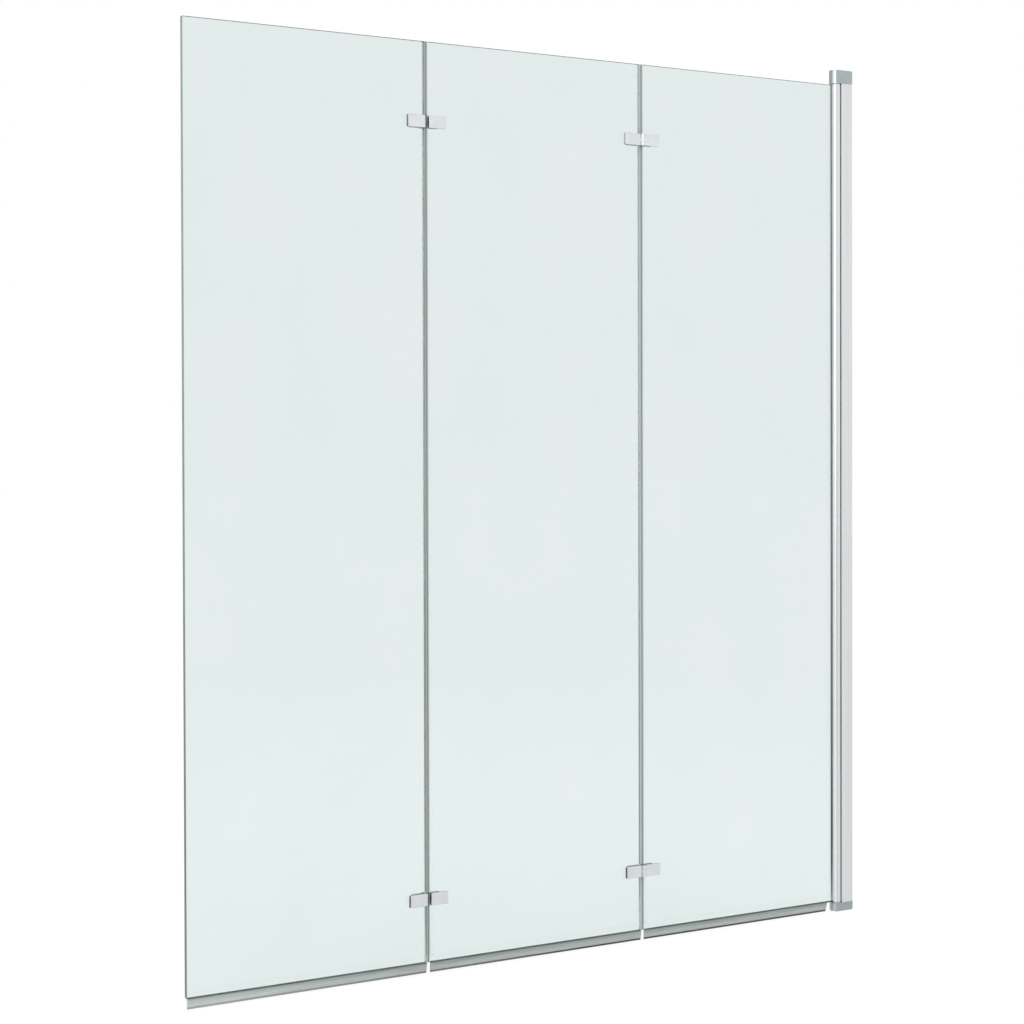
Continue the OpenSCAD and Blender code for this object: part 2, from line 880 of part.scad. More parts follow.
// Pad between the glass and a hinge plate of width w, drawn at the back
module hinge_pad(w) {
    difference() {
        slab(glass_t / 2, plate_y0)
            translate([pad_inset - plate_w / 2, pad_inset - plate_h / 2])
                square([w - 2 * pad_inset, plate_h - 2 * pad_inset]);
        rod(screw_r + 2 * hole_clear, 0, plate_y1);
    }
}

// Pads behind and in front of the glass
module hinge_pads() {
    hinge_pad(back_plate_w);
    mirror([0, 1, 0]) hinge_pad(plate_w);
}

// Repeats its children at both hinges of one side of a joint, with their +X away from the joint
module at_screws(joint, side) {
    for (z = hinge_levels)
        translate([joint_x(joint) + side * screw_u, 0, z])
            mirror([side > 0 ? 0 : 1, 0, 0])
                children();
}

module inner_leaf_hinge_screws() {
    color(steel)
    at_screws(INNER, 1) hinge_screw();
}

module inner_leaf_hinge_pads() {
    color(nylon)
    at_screws(INNER, 1) hinge_pads();
}

module inner_leaf_glass_sleeves() {
    color(nylon)
    at_screws(INNER, 1) glass_sleeve();
}

module middle_leaf_hinge_screws() {
    color(steel) {
        at_screws(INNER, -1) hinge_screw();
        at_screws(OUTER, 1) hinge_screw();
    }
}

module middle_leaf_hinge_pads() {
    color(nylon) {
        at_screws(INNER, -1) hinge_pads();
        at_screws(OUTER, 1) hinge_pads();
    }
}

module middle_leaf_glass_sleeves() {
    color(nylon) {
        at_screws(INNER, -1) glass_sleeve();
        at_screws(OUTER, 1) glass_sleeve();
    }
}

module outer_leaf_hinge_screws() {
    color(steel)
    at_screws(OUTER, -1) hinge_screw();
}

module outer_leaf_hinge_pads() {
    color(nylon)
    at_screws(OUTER, -1) hinge_pads();
}

module outer_leaf_glass_sleeves() {
    color(nylon)
    at_screws(OUTER, -1) glass_sleeve();
}

// ---- The nodes ----

wall_profile();
adjusting_profile();
adjusting_screws();
cap_screws();
screw_covers();
top_cap();
bottom_cap();
top_pivot_bush();
bottom_pivot_bush();
pivot_profile();
top_pivot_plug();
bottom_pivot_plug();
glazing_gasket();
inner_glass();
inner_bottom_seal();
inner_joint_seal();
middle_glass();
middle_bottom_seal();
middle_joint_seal();
outer_glass();
outer_bottom_seal();
inner_leaf_hinge_screws();
inner_leaf_hinge_pads();
inner_leaf_glass_sleeves();
middle_leaf_hinge_screws();
middle_leaf_hinge_pads();
middle_leaf_glass_sleeves();
outer_leaf_hinge_screws();
outer_leaf_hinge_pads();
outer_leaf_glass_sleeves();

// The pieces of the four hinges, named after their joint and level
for (joint = [INNER, OUTER])
    for (level = [0, 1]) {
        hinge = str(["inner", "outer"][joint], "_", ["lower", "upper"][level], "_hinge_");
        hinge_knuckle(joint, level, true);
        hinge_knuckle(joint, level, false);
        hinge_cover(joint, level, true);
        hinge_cover(joint, level, false);
        hinge_pin(joint, level);
    }
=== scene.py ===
import json
import math

import bmesh
import bpy
from mathutils import Matrix, Vector

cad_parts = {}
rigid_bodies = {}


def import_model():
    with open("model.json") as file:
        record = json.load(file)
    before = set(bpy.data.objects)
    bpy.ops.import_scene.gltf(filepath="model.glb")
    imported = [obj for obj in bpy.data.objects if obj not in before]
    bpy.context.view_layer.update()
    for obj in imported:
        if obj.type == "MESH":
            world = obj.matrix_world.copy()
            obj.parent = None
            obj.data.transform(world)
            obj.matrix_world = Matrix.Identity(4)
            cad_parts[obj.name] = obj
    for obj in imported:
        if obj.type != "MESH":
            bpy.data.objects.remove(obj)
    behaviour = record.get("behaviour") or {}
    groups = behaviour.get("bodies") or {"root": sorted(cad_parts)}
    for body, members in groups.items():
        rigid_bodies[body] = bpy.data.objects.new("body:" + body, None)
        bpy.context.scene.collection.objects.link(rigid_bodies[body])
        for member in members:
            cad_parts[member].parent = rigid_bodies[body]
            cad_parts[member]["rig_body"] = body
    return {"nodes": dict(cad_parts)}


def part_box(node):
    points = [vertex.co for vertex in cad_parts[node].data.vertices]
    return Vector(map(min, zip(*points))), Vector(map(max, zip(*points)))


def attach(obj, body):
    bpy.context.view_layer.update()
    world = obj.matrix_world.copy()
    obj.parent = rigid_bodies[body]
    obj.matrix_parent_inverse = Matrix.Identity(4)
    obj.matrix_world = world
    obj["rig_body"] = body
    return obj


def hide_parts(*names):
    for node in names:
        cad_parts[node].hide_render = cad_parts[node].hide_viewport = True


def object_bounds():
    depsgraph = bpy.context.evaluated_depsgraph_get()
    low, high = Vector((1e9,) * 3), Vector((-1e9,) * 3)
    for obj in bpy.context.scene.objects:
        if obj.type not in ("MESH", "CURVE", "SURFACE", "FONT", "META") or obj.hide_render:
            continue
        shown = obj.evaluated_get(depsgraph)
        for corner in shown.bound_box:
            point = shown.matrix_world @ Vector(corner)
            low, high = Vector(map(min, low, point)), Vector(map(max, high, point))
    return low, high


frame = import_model()
cad_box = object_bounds()
NODES = frame["nodes"]
LEAVES = ("inner", "middle", "outer")
MM = 0.001

# ---- Sizes ----

# Where the surfaces of the panes, the bottom seals and the nose are parted into zones
GLASS_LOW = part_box("outer_glass")[0]
FREE_EDGE_W = 3 * MM
# On the bottom seals, painted shade colours the clip's floor and the bead, and painted light
# colours the blade
SEAL_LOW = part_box("outer_bottom_seal")[0].z
SEAL_CLEARANCE = 0.05 * MM
SEAL_FLOOR_H = 1.2 * MM
BEAD_H = 2.8 * MM
LEG_Z = GLASS_LOW.z - SEAL_CLEARANCE
BLADE_TOP = LEG_Z - SEAL_FLOOR_H
BEAD_TOP = SEAL_LOW + BEAD_H
# On the nose, painted highlights cover a strip of the end and one half of the chamfer, and
# painted shade covers the other half
NOSE_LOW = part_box("pivot_profile")[0]
NOSE_END_T = 0.5 * MM
HIGHLIGHT_STRIP_W = 7.2 * MM
CHAMFER_HIGHLIGHT_W = 2.1 * MM
HIGHLIGHT_STRIP_END_Y = NOSE_LOW.y + HIGHLIGHT_STRIP_W
CHAMFER_HIGHLIGHT_END_X = NOSE_LOW.x + CHAMFER_HIGHLIGHT_W

# Joint seal: the core between the lip at one end and the clip at the other. Faces that end at
# a cut count as past it only when they lie more than CUT_REACH away.
# Across the core run bands of painted light and painted shade, and its free side has painted
# light
LIP_W = 5.3 * MM
PAINTED_LIGHT_BAND_W = 2.9 * MM
CLIP_W = 8 * MM
CLIP_AND_END_BAND_W = 9.4 * MM
SIDE_ZONE_W = 0.25 * MM
CUT_REACH = 0.01 * MM

# Radii of the rounded edges
BOTTOM_SEAL_ROUND = 0.12 * MM
JOINT_SEAL_ROUND = 0.2 * MM
WALL_PROFILE_ROUND = 0.35 * MM
PROFILE_ROUND = 0.25 * MM
SHORTEST_PROFILE_EDGE = 0.2
ROUND_SEGMENTS = 2

# Mesh clean-up. Angles that choose edges are in degrees, and the one for flat faces in radians.
MERGE = 0.001 * MM
CUT_SNAP = 0.0001 * MM
FLAT_ANGLE = 0.004
ROUNDED_FROM = 50
SHADED_SMOOTH_TO = 32

# Least part along an axis for a direction to count as lying along it, leaning towards it, or,
# on the rounded corners of a pane, as level
STRAIGHT = 0.999
LEANING = 0.5
LEVEL = 0.3

# ---- Node trees ----

EVEN = (1, 1, 1)
ALONG_X = (0.02, 1, 1)
ALONG_Z = (1, 1, 0.01)
WHITE = (1, 1, 1, 1)
NOISE_LOW, NOISE_HIGH = 0.3, 0.7
SOLID_IOR = 1.5
FINE_BUMP = 0.03 * MM


def add_node(tree, kind, inputs=None, **settings):
    """A shader node with its settings, and its inputs linked to sockets or set to values."""
    made = tree.nodes.new("ShaderNode" + kind)
    for key, value in settings.items():
        setattr(made, key, value)
    for key, value in (inputs or {}).items():
        if isinstance(value, bpy.types.NodeSocket):
            tree.links.new(value, made.inputs[key])
        else:
            made.inputs[key].default_value = value
    return made


def map_range(tree, value, start, end, first, last, **settings):
    """A value that goes from first to last while another goes from start to end."""
    ends = {"From Min": start, "From Max": end, "To Min": first, "To Max": last}
    return add_node(tree, "MapRange", {"Value": value, **ends}, **settings).outputs[0]


def calculated(tree, operation, first, second):
    return add_node(tree, "Math", {0: first, 1: second}, operation=operation).outputs[0]


def joined_shaders(tree, kind, first, second, **inputs):
    """Two shaders in the last two inputs of a Mix Shader or Add Shader node."""
    made = add_node(tree, kind, inputs)
    tree.links.new(first, made.inputs[-2])
    tree.links.new(second, made.inputs[-1])
    return made.outputs[0]


def object_place(tree):
    return add_node(tree, "TexCoord").outputs["Object"]


def new_material(name):
    mat = bpy.data.materials.new(name)
    mat.use_nodes = True
    mat.node_tree.nodes.clear()
    return mat, mat.node_tree


def stretched_noise(tree, scale, stretch=EVEN, detail=3.0, offset=0.0):
    """Noise on the piece's own coordinates, drawn out along an axis where stretch is small."""
    mapping = add_node(
        tree,
        "Mapping",
        {"Vector": object_place(tree), "Location": (offset, offset, offset), "Scale": stretch},
    )
    noise = add_node(
        tree,
        "TexNoise",
        {"Vector": mapping.outputs[0], "Scale": scale, "Detail": detail},
    )
    return noise.outputs[0]


def two_colours(tree, factor, low, high):
    """A colour that goes from low to high over the middle of a noise."""
    ramp = add_node(tree, "ValToRGB", {"Fac": factor})
    first, last = ramp.color_ramp.elements
    first.position = NOISE_LOW
    last.position = NOISE_HIGH
    first.color = (*low, 1)
    last.color = (*high, 1)
    return ramp.outputs[0]


def ranged(tree, factor, low, high):
    """A value that goes from low to high over the middle of a noise."""
    return map_range(tree, factor, NOISE_LOW, NOISE_HIGH, low, high)


def faded(tree, colour, axis, start, end, first, last):
    """The colour times a level that goes from first to last along one of the piece's axes."""
    along = add_node(tree, "SeparateXYZ", {"Vector": object_place(tree)}).outputs[axis]
    level = map_range(tree, along, start, end, first, last)
    return add_node(
        tree, "VectorMath", {0: colour, "Scale": level}, operation="SCALE"
    ).outputs[0]


def bumped(tree, height, strength, depth):
    return add_node(
        tree, "Bump", {"Height": height, "Strength": strength, "Distance": depth}
    ).outputs[0]


def principled(tree, inputs):
    return add_node(tree, "BsdfPrincipled", inputs).outputs[0]


def finish_surface(tree, shader):
    add_node(tree, "OutputMaterial", {"Surface": shader})


def lets_light_through(tree, shader, tint):
    """Glass or clear plastic that shades what is behind it by its tint only."""
    clear = add_node(tree, "BsdfTransparent", {"Color": (*tint, 1)}).outputs[0]
    shadow = add_node(tree, "LightPath").outputs["Is Shadow Ray"]
    return joined_shaders(tree, "MixShader", shader, clear, Fac=shadow)


# ---- Materials ----


def glass_face(name, low, high, shade):
    """Clear glass with a faint change of tint and a few smears."""
    mat, tree = new_material(name)
    cloud = stretched_noise(tree, scale=6.0, detail=2.0)
    smear = stretched_noise(tree, scale=55.0, stretch=(1, 1, 0.35), detail=4.0, offset=3.1)
    shader = principled(
        tree,
        {
            "Base Color": two_colours(tree, cloud, low, high),
            "Roughness": ranged(tree, smear, 0.0, 0.012),
            "IOR": SOLID_IOR,
            "Transmission Weight": 1.0,
        },
    )
    finish_surface(tree, lets_light_through(tree, shader, shade))
    return mat


def glass_edge(name, low, high, fade=None, rough=(0.22, 0.36), clear=0.0, shade=None):
    """Ground and polished edge, through which the glass looks green."""
    mat, tree = new_material(name)
    grind = stretched_noise(tree, scale=900.0, stretch=(1, 1, 0.2), detail=4.0)
    cloud = stretched_noise(tree, scale=35.0, offset=1.7)
    colour = two_colours(tree, cloud, low, high)
    shader = principled(
        tree,
        {
            "Base Color": faded(tree, colour, *fade) if fade else colour,
            "Roughness": ranged(tree, grind, *rough),
            "IOR": SOLID_IOR,
            "Transmission Weight": clear,
            "Normal": bumped(tree, grind, 0.25, FINE_BUMP),
        },
    )
    finish_surface(tree, lets_light_through(tree, shader, shade) if shade else shader)
    return mat


def metal(name, low, high, rough, scale, stretch=EVEN, tone_scale=40.0):
    """Metal with fine lines or grain and a slow change of tone."""
    mat, tree = new_material(name)
    lines = stretched_noise(tree, scale, stretch, detail=4.0)
    tone = stretched_noise(tree, tone_scale, stretch, detail=2.0, offset=2.3)
    shader = principled(
        tree,
        {
            "Base Color": two_colours(tree, tone, low, high),
            "Metallic": 1.0,
            "Roughness": ranged(tree, lines, *rough),
            "Normal": bumped(tree, lines, 0.1, 0.01 * MM),
        },
    )
    finish_surface(tree, shader)
    return mat


def plastic(name, low, high, rough, stretch=EVEN, metallic=0.0, fade=None):
    """Opaque moulded or extruded plastic, or paint, with a fine texture."""
    mat, tree = new_material(name)
    grain = stretched_noise(tree, scale=1500.0, stretch=stretch)
    tone = stretched_noise(tree, scale=28.0, stretch=stretch, offset=4.4)
    colour = two_colours(tree, tone, low, high)
    shader = principled(
        tree,
        {
            "Base Color": faded(tree, colour, *fade) if fade else colour,
            "Metallic": metallic,
            "Roughness": ranged(tree, grain, *rough),
            "IOR": SOLID_IOR,
            "Normal": bumped(tree, grain, 0.15, FINE_BUMP),
        },
    )
    finish_surface(tree, shader)
    return mat


def clear_plastic(name, low, high, rough, clear, ior, stretch, shade, fade=None):
    """Clear or cloudy extruded plastic, with streaks along its length."""
    mat, tree = new_material(name)
    streak = stretched_noise(tree, scale=700.0, stretch=stretch)
    colour = two_colours(tree, streak, low, high)
    shader = principled(
        tree,
        {
            "Base Color": faded(tree, colour, *fade) if fade else colour,
            "Roughness": ranged(tree, streak, *rough),
            "IOR": ior,
            "Transmission Weight": clear,
        },
    )
    finish_surface(tree, lets_light_through(tree, shader, shade))
    return mat


def seal_clip(name, stretch):
    """Clear plastic that hardly bends or tints what is seen through it."""
    return clear_plastic(
        name,
        low=(0.985, 0.99, 0.99),
        high=(1.0, 1.0, 1.0),
        rough=(0.0, 0.02),
        clear=1.0,
        ior=1.04,
        stretch=stretch,
        shade=(0.96, 0.97, 0.97),
    )


# Heights over which painted light and painted shade fade: along the bottom cap, and along
# the lower half of the pivot profile
BY_BOTTOM_CAP = ("Z", -0.68, -0.6)
LOWER_HALF = ("Z", -0.68, 0.0)

GLASS_FACE = glass_face(
    "tempered_glass_face",
    low=(0.745, 0.823, 0.813),
    high=(0.765, 0.837, 0.827),
    shade=(0.86, 0.91, 0.9),
)
# The free edge's own tone, darkened towards the bottom by painted shade
FREE_EDGE = glass_edge(
    "tempered_glass_edge",
    low=(0.29, 0.36, 0.345),
    high=(0.35, 0.42, 0.4),
    fade=("Z", -0.67, 0.4, 0.6, 1.0),
)
# Painted shade: the level edges are a darker copy of the glass edge
EDGE_LEVEL_PAINTED_SHADE = glass_edge(
    "tempered_glass_edge_level_painted_shade", low=(0.12, 0.15, 0.14), high=(0.16, 0.2, 0.19)
)
# Painted light: the edges in the joints are a lighter, partly clear copy of the glass edge, set
# against the shade in the gaps
EDGE_IN_JOINT_PAINTED_LIGHT = glass_edge(
    "tempered_glass_edge_joint_painted_light",
    low=(0.74, 0.8, 0.78),
    high=(0.82, 0.87, 0.85),
    rough=(0.08, 0.16),
    clear=0.6,
    shade=(0.8, 0.85, 0.84),
)
CHROME = metal(
    "chrome", low=(0.7, 0.725, 0.73), high=(0.76, 0.78, 0.785), rough=(0.05, 0.11), scale=900.0
)
ALUMINIUM = metal(
    "profile_aluminium",
    low=(0.7, 0.7, 0.72),
    high=(0.75, 0.77, 0.77),
    rough=(0.2, 0.32),
    scale=1400.0,
    stretch=ALONG_Z,
    tone_scale=260.0,
)
# Painted highlight on the half of the nose's chamfer next to its end
ALUMINIUM_PAINTED_HIGHLIGHT = metal(
    "profile_aluminium_painted_highlight",
    low=(0.88, 0.89, 0.89),
    high=(0.93, 0.94, 0.94),
    rough=(0.1, 0.16),
    scale=1400.0,
    stretch=ALONG_Z,
)
# Painted shade on the other half of the chamfer, lightened towards the bottom
NOSE_CHAMFER_PAINTED_SHADE = plastic(
    "profile_aluminium_painted_shade",
    low=(0.49, 0.5, 0.5),
    high=(0.53, 0.54, 0.54),
    rough=(0.1, 0.16),
    stretch=ALONG_Z,
    metallic=1.0,
    fade=(*LOWER_HALF, 1.28, 1.0),
)
# Painted highlight on a strip of the nose's end beside the chamfer, a little dimmer towards the
# bottom
NOSE_PAINTED_HIGHLIGHT_STRIP = plastic(
    "profile_aluminium_painted_highlight_strip",
    low=(0.88, 0.89, 0.89),
    high=(0.92, 0.93, 0.93),
    rough=(0.2, 0.3),
    stretch=ALONG_Z,
    fade=(*LOWER_HALF, 0.96, 1.0),
)
STEEL = metal(
    "steel", low=(0.5, 0.51, 0.52), high=(0.6, 0.61, 0.62), rough=(0.2, 0.32), scale=1100.0
)
# The cap's own grey, darkened on the bottom cap by painted shade
CAP = plastic(
    "cap_grey",
    low=(0.35, 0.41, 0.41),
    high=(0.39, 0.45, 0.45),
    rough=(0.2, 0.3),
    metallic=0.4,
    fade=(*BY_BOTTOM_CAP, 0.9, 1.0),
)
# Painted highlight on the cap's chamfer, dimmer on the bottom cap
CAP_PAINTED_HIGHLIGHT = plastic(
    "cap_grey_painted_highlight",
    low=(0.84, 0.87, 0.87),
    high=(0.9, 0.92, 0.92),
    rough=(0.15, 0.22),
    metallic=0.9,
    fade=(*BY_BOTTOM_CAP, 0.6, 1.0),
)
# Painted highlight on a strip of the cap's end beside the chamfer, dimmer on the bottom cap
CAP_PAINTED_HIGHLIGHT_STRIP = plastic(
    "cap_grey_painted_highlight_strip",
    low=(0.82, 0.83, 0.83),
    high=(0.88, 0.89, 0.89),
    rough=(0.2, 0.3),
    fade=(*BY_BOTTOM_CAP, 0.75, 1.0),
)
NYLON = plastic("nylon_white", low=(0.72, 0.72, 0.7), high=(0.8, 0.8, 0.78), rough=(0.45, 0.6))
GASKET = plastic(
    "gasket_grey",
    low=(0.1, 0.11, 0.11),
    high=(0.14, 0.15, 0.15),
    rough=(0.5, 0.65),
    stretch=ALONG_Z,
)
CLIP_X = seal_clip("seal_clip", ALONG_X)
CLIP_Z = seal_clip("seal_clip_upright", ALONG_Z)
# The blade's own cloudy tone, made lighter towards the free end by painted light
BLADE = clear_plastic(
    "seal_blade_with_painted_light",
    low=(0.45, 0.5, 0.485),
    high=(0.6, 0.645, 0.63),
    rough=(0.28, 0.42),
    clear=0.4,
    ior=1.4,
    stretch=ALONG_X,
    shade=(0.7, 0.72, 0.72),
    fade=("X", -1.3, -0.9, 1.28, 1.0),
)
# Painted shade: the floor of the clear clip is coloured dark to draw a shade line along the top
# of the seal
SEAL_FLOOR = plastic(
    "seal_floor_painted_shade",
    low=(0.09, 0.115, 0.108),
    high=(0.13, 0.155, 0.148),
    rough=(0.3, 0.42),
    stretch=ALONG_X,
)
# The bead's grey, darkened towards the wall by painted shade
SEAL_BEAD = plastic(
    "seal_bead_with_painted_shade",
    low=(0.44, 0.48, 0.47),
    high=(0.56, 0.6, 0.59),
    rough=(0.35, 0.5),
    stretch=ALONG_X,
    fade=("X", -1.27, -0.6, 0.65, 0.08),
)
# Copies of the core's plastic in painted light and painted shade: lighter and darker bands across
# it, and light on its free side set against the shade of the gap
PAINTED_LIGHT_CORE, PAINTED_SHADE_CORE, PAINTED_LIGHT_SIDE_CORE, PAINTED_LIGHT_END_CORE = [
    plastic("seal_core_painted_" + name, low, high, rough=(0.3, 0.42), stretch=ALONG_Z)
    for name, low, high in (
        ("light", (0.38, 0.425, 0.418), (0.45, 0.495, 0.488)),
        ("dark", (0.19, 0.22, 0.215), (0.24, 0.27, 0.265)),
        ("side", (0.8, 0.87, 0.86), (0.88, 0.94, 0.93)),
        ("end", (0.54, 0.59, 0.58), (0.62, 0.67, 0.66)),
    )
]
PAD = clear_plastic(
    "hinge_pad",
    low=(0.8, 0.84, 0.83),
    high=(0.86, 0.89, 0.88),
    rough=(0.1, 0.2),
    clear=0.9,
    ior=1.1,
    stretch=EVEN,
    shade=(0.85, 0.88, 0.88),
)

# ---- Pieces ----


def solid_of(node):
    """The node's solid as a mesh of whole flat faces, free to be changed."""
    bm = bmesh.new()
    bm.from_mesh(NODES[node].data)
    bmesh.ops.remove_doubles(bm, verts=bm.verts, dist=MERGE)
    bmesh.ops.dissolve_limit(bm, angle_limit=FLAT_ANGLE, verts=bm.verts, edges=bm.edges)
    return bm


def cut_at(bm, point, normal):
    """Splits the faces that a plane crosses, so that each side can have its own material."""
    bmesh.ops.bisect_plane(
        bm,
        geom=bm.verts[:] + bm.edges[:] + bm.faces[:],
        dist=CUT_SNAP,
        plane_co=point,
        plane_no=normal,
    )


def round_edges(bm, width, axis, shortest=0.0):
    """Rounds the sharp edges that run along one axis."""
    edges = []
    for e in bm.edges:
        if not e.is_manifold or e.calc_face_angle(0) < math.radians(ROUNDED_FROM):
            continue
        length = e.calc_length()
        if length < shortest:
            continue
        if abs((e.verts[1].co - e.verts[0].co)[axis]) < STRAIGHT * length:
            continue
        edges.append(e)
    bmesh.ops.bevel(
        bm,
        geom=edges,
        offset=width,
        segments=ROUND_SEGMENTS,
        profile=0.5,
        affect="EDGES",
        clamp_overlap=False,
    )


def make_piece(bm, node, materials, choose=None, smooth=SHADED_SMOOTH_TO):
    """Turns the mesh into the piece that stands for a node, and rides where the node rides."""
    for f in bm.faces:
        f.smooth = True
        f.material_index = choose(f.calc_center_median(), f.normal) if choose else 0
    for e in bm.edges:
        e.smooth = e.is_manifold and e.calc_face_angle(0) < math.radians(smooth)
    mesh = bpy.data.meshes.new(node + "_form")
    bm.to_mesh(mesh)
    bm.free()
    for mat in materials:
        mesh.materials.append(mat)
    piece = bpy.data.objects.new(node + "_form", mesh)
    bpy.context.scene.collection.objects.link(piece)
    normals = piece.modifiers.new("Even normals", "WEIGHTED_NORMAL")
    normals.keep_sharp = True
    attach(piece, NODES[node]["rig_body"])
    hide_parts(node)


def pane_zone(centre, normal):
    """0 for the faces, 1 for the free edge, 2 for the level edges with painted shade, 3 for the
    edges in joints with painted light.
    """
    if abs(normal.y) > STRAIGHT:
        return 0
    if abs(normal.z) > LEVEL:
        return 2
    return 1 if centre.x < GLASS_LOW.x + FREE_EDGE_W else 3


def seal_zone(centre, normal):
    """0 for the legs of the clip, 1 for its floor (painted shade), 2 for the blade and fin
    (painted light towards the free end), 3 for the bead (painted shade towards the wall).
    """
    if centre.z > LEG_Z:
        return 0
    if centre.z > BLADE_TOP:
        return 1
    return 2 if centre.z > BEAD_TOP else 3


def nose_zone(centre, normal):
    """1 for the half of the chamfer with painted highlight, 2 for the half with painted shade, 3
    for the strip of the end beside it with painted highlight, or 0.
    """
    if normal.x < -LEANING and normal.y < -LEANING:
        return 1 if centre.x < CHAMFER_HIGHLIGHT_END_X else 2
    at_end = normal.x < -STRAIGHT and centre.x < NOSE_LOW.x + NOSE_END_T
    return 3 if at_end and centre.y < HIGHLIGHT_STRIP_END_Y else 0


def cap_zone(centre, normal):
    """As on the profile, with its painted highlights, but the half of the chamfer further back
    has the cap's own look instead of painted shade.
    """
    return (0, 1, 0, 2)[nose_zone(centre, normal)]


def cut_nose(bm):
    cut_at(bm, (CHAMFER_HIGHLIGHT_END_X, 0, 0), (1, 0, 0))
    cut_at(bm, (0, HIGHLIGHT_STRIP_END_Y, 0), (0, 1, 0))


def make_profile(node, width, materials, choose=None):
    profile = solid_of(node)
    if choose:
        cut_nose(profile)
    round_edges(profile, width, axis=2, shortest=SHORTEST_PROFILE_EDGE)
    make_piece(profile, node, materials, choose)


for leaf in LEAVES:
    pane = solid_of(leaf + "_glass")
    looks = [GLASS_FACE, FREE_EDGE, EDGE_LEVEL_PAINTED_SHADE, EDGE_IN_JOINT_PAINTED_LIGHT]
    make_piece(pane, leaf + "_glass", looks, pane_zone, smooth=50)

for leaf in LEAVES:
    node = leaf + "_bottom_seal"
    seal = solid_of(node)
    for z in (LEG_Z, BLADE_TOP, BEAD_TOP):
        cut_at(seal, (0, 0, z), (0, 0, 1))
    round_edges(seal, BOTTOM_SEAL_ROUND, axis=0)
    make_piece(seal, node, [CLIP_X, SEAL_FLOOR, BLADE, SEAL_BEAD], seal_zone)

for leaf in ("inner", "middle"):
    node = leaf + "_joint_seal"
    lip_end, clip_end = (corner.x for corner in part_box(node))
    core_x0 = lip_end + LIP_W
    shade_band_x0 = core_x0 + PAINTED_LIGHT_BAND_W
    shade_band_x1 = clip_end - CLIP_AND_END_BAND_W
    core_x1 = clip_end - CLIP_W

    def joint_zone(centre, normal, limits=(core_x0, shade_band_x0, shade_band_x1, core_x1)):
        """0 for the clip and the lip, 1 to 3 for the bands of painted light, painted shade and
        painted light on the core up to its clip, 4 for its free side with painted light.
        """
        x0, x1, x2, x3 = limits
        if centre.x > x3 or centre.x < x0 - CUT_REACH:
            return 0
        if centre.x < x0 + SIDE_ZONE_W and normal.x < -LEANING:
            return 4
        if centre.x < x1:
            return 1
        return 2 if centre.x < x2 else 3

    seal = solid_of(node)
    for x in (core_x0, shade_band_x0, shade_band_x1, core_x1):
        cut_at(seal, (x, 0, 0), (1, 0, 0))
    round_edges(seal, JOINT_SEAL_ROUND, axis=2)
    looks = [CLIP_Z, PAINTED_LIGHT_CORE, PAINTED_SHADE_CORE, PAINTED_LIGHT_END_CORE, PAINTED_LIGHT_SIDE_CORE]
    make_piece(seal, node, looks, joint_zone)

make_profile("wall_profile", WALL_PROFILE_ROUND, [ALUMINIUM])
make_profile("adjusting_profile", PROFILE_ROUND, [ALUMINIUM])
looks = [ALUMINIUM, ALUMINIUM_PAINTED_HIGHLIGHT, NOSE_CHAMFER_PAINTED_SHADE, NOSE_PAINTED_HIGHLIGHT_STRIP]
make_profile("pivot_profile", PROFILE_ROUND, looks, nose_zone)

for node in ("top_cap", "bottom_cap"):
    cap = solid_of(node)
    cut_nose(cap)
    make_piece(cap, node, [CAP, CAP_PAINTED_HIGHLIGHT, CAP_PAINTED_HIGHLIGHT_STRIP], cap_zone)

# The other nodes keep their own mesh and get a material
MATERIAL_OF = {
    "adjusting_screws": STEEL,
    "cap_screws": STEEL,
    "screw_covers": CHROME,
    "top_pivot_bush": NYLON,
    "bottom_pivot_bush": NYLON,
    "top_pivot_plug": STEEL,
    "bottom_pivot_plug": STEEL,
    "glazing_gasket": GASKET,
}
for leaf in LEAVES:
    MATERIAL_OF[leaf + "_leaf_hinge_screws"] = STEEL
    MATERIAL_OF[leaf + "_leaf_hinge_pads"] = PAD
    MATERIAL_OF[leaf + "_leaf_glass_sleeves"] = NYLON
for joint in ("inner", "outer"):
    for level in ("upper", "lower"):
        hinge = f"{joint}_{level}_hinge_"
        for part in ("wall_knuckle", "free_knuckle", "wall_cover", "free_cover"):
            MATERIAL_OF[hinge + part] = CHROME
        MATERIAL_OF[hinge + "pin"] = STEEL

for node, mat in MATERIAL_OF.items():
    mesh = NODES[node].data
    mesh.materials.clear()
    mesh.materials.append(mat)

# ---- Floor, light and camera ----

# Camera, fitted to the corners of the panes, in pixels of a square frame
FRAME_PIXELS = 1024
FOCAL_PIXELS = 2897.4
SHIFT_PIXELS = -26.0
SENSOR_W = 36.0
CAMERA_PLACE = (-3.4799, -3.3141, 0.0988)
CAMERA_AZIMUTH = -39.811
CAMERA_ELEVATION = 1.065
CAMERA_ROLL = -0.151

# The floor lies just below the lowest piece, and its middle below the middle of the screen
FLOOR_GAP = 0.5 * MM
FLOOR_Z = cad_box[0].z - FLOOR_GAP
FLOOR_REACH = 30
FLOOR_CELLS = 8
FLOOR_X = -0.65

# Levels of the floor's glow: where the camera sees it, near and far, and after a reflection.
# Near the screen it glows more, painted light over the screen's shadow.
FLOOR_GREY = 0.25
FLOOR_NEAR, FLOOR_FAR = 0.8, 0.76
NEAR_END, FAR_END = 1.0, 5.0
FLOOR_MIRRORED = 0.67
FLOOR_SCATTERED = 0.5

# Reflections of the floor darken behind the screen, more so up to the wall than past it. X and
# Y are those of the floor, from its middle.
DARK_START_Y, DARK_END_Y = 0.05, 0.4
DARK_START_X, DARK_END_X = 1.0, 3.0
DARK_NEAR, DARK_FAR = 0.88, 0.5

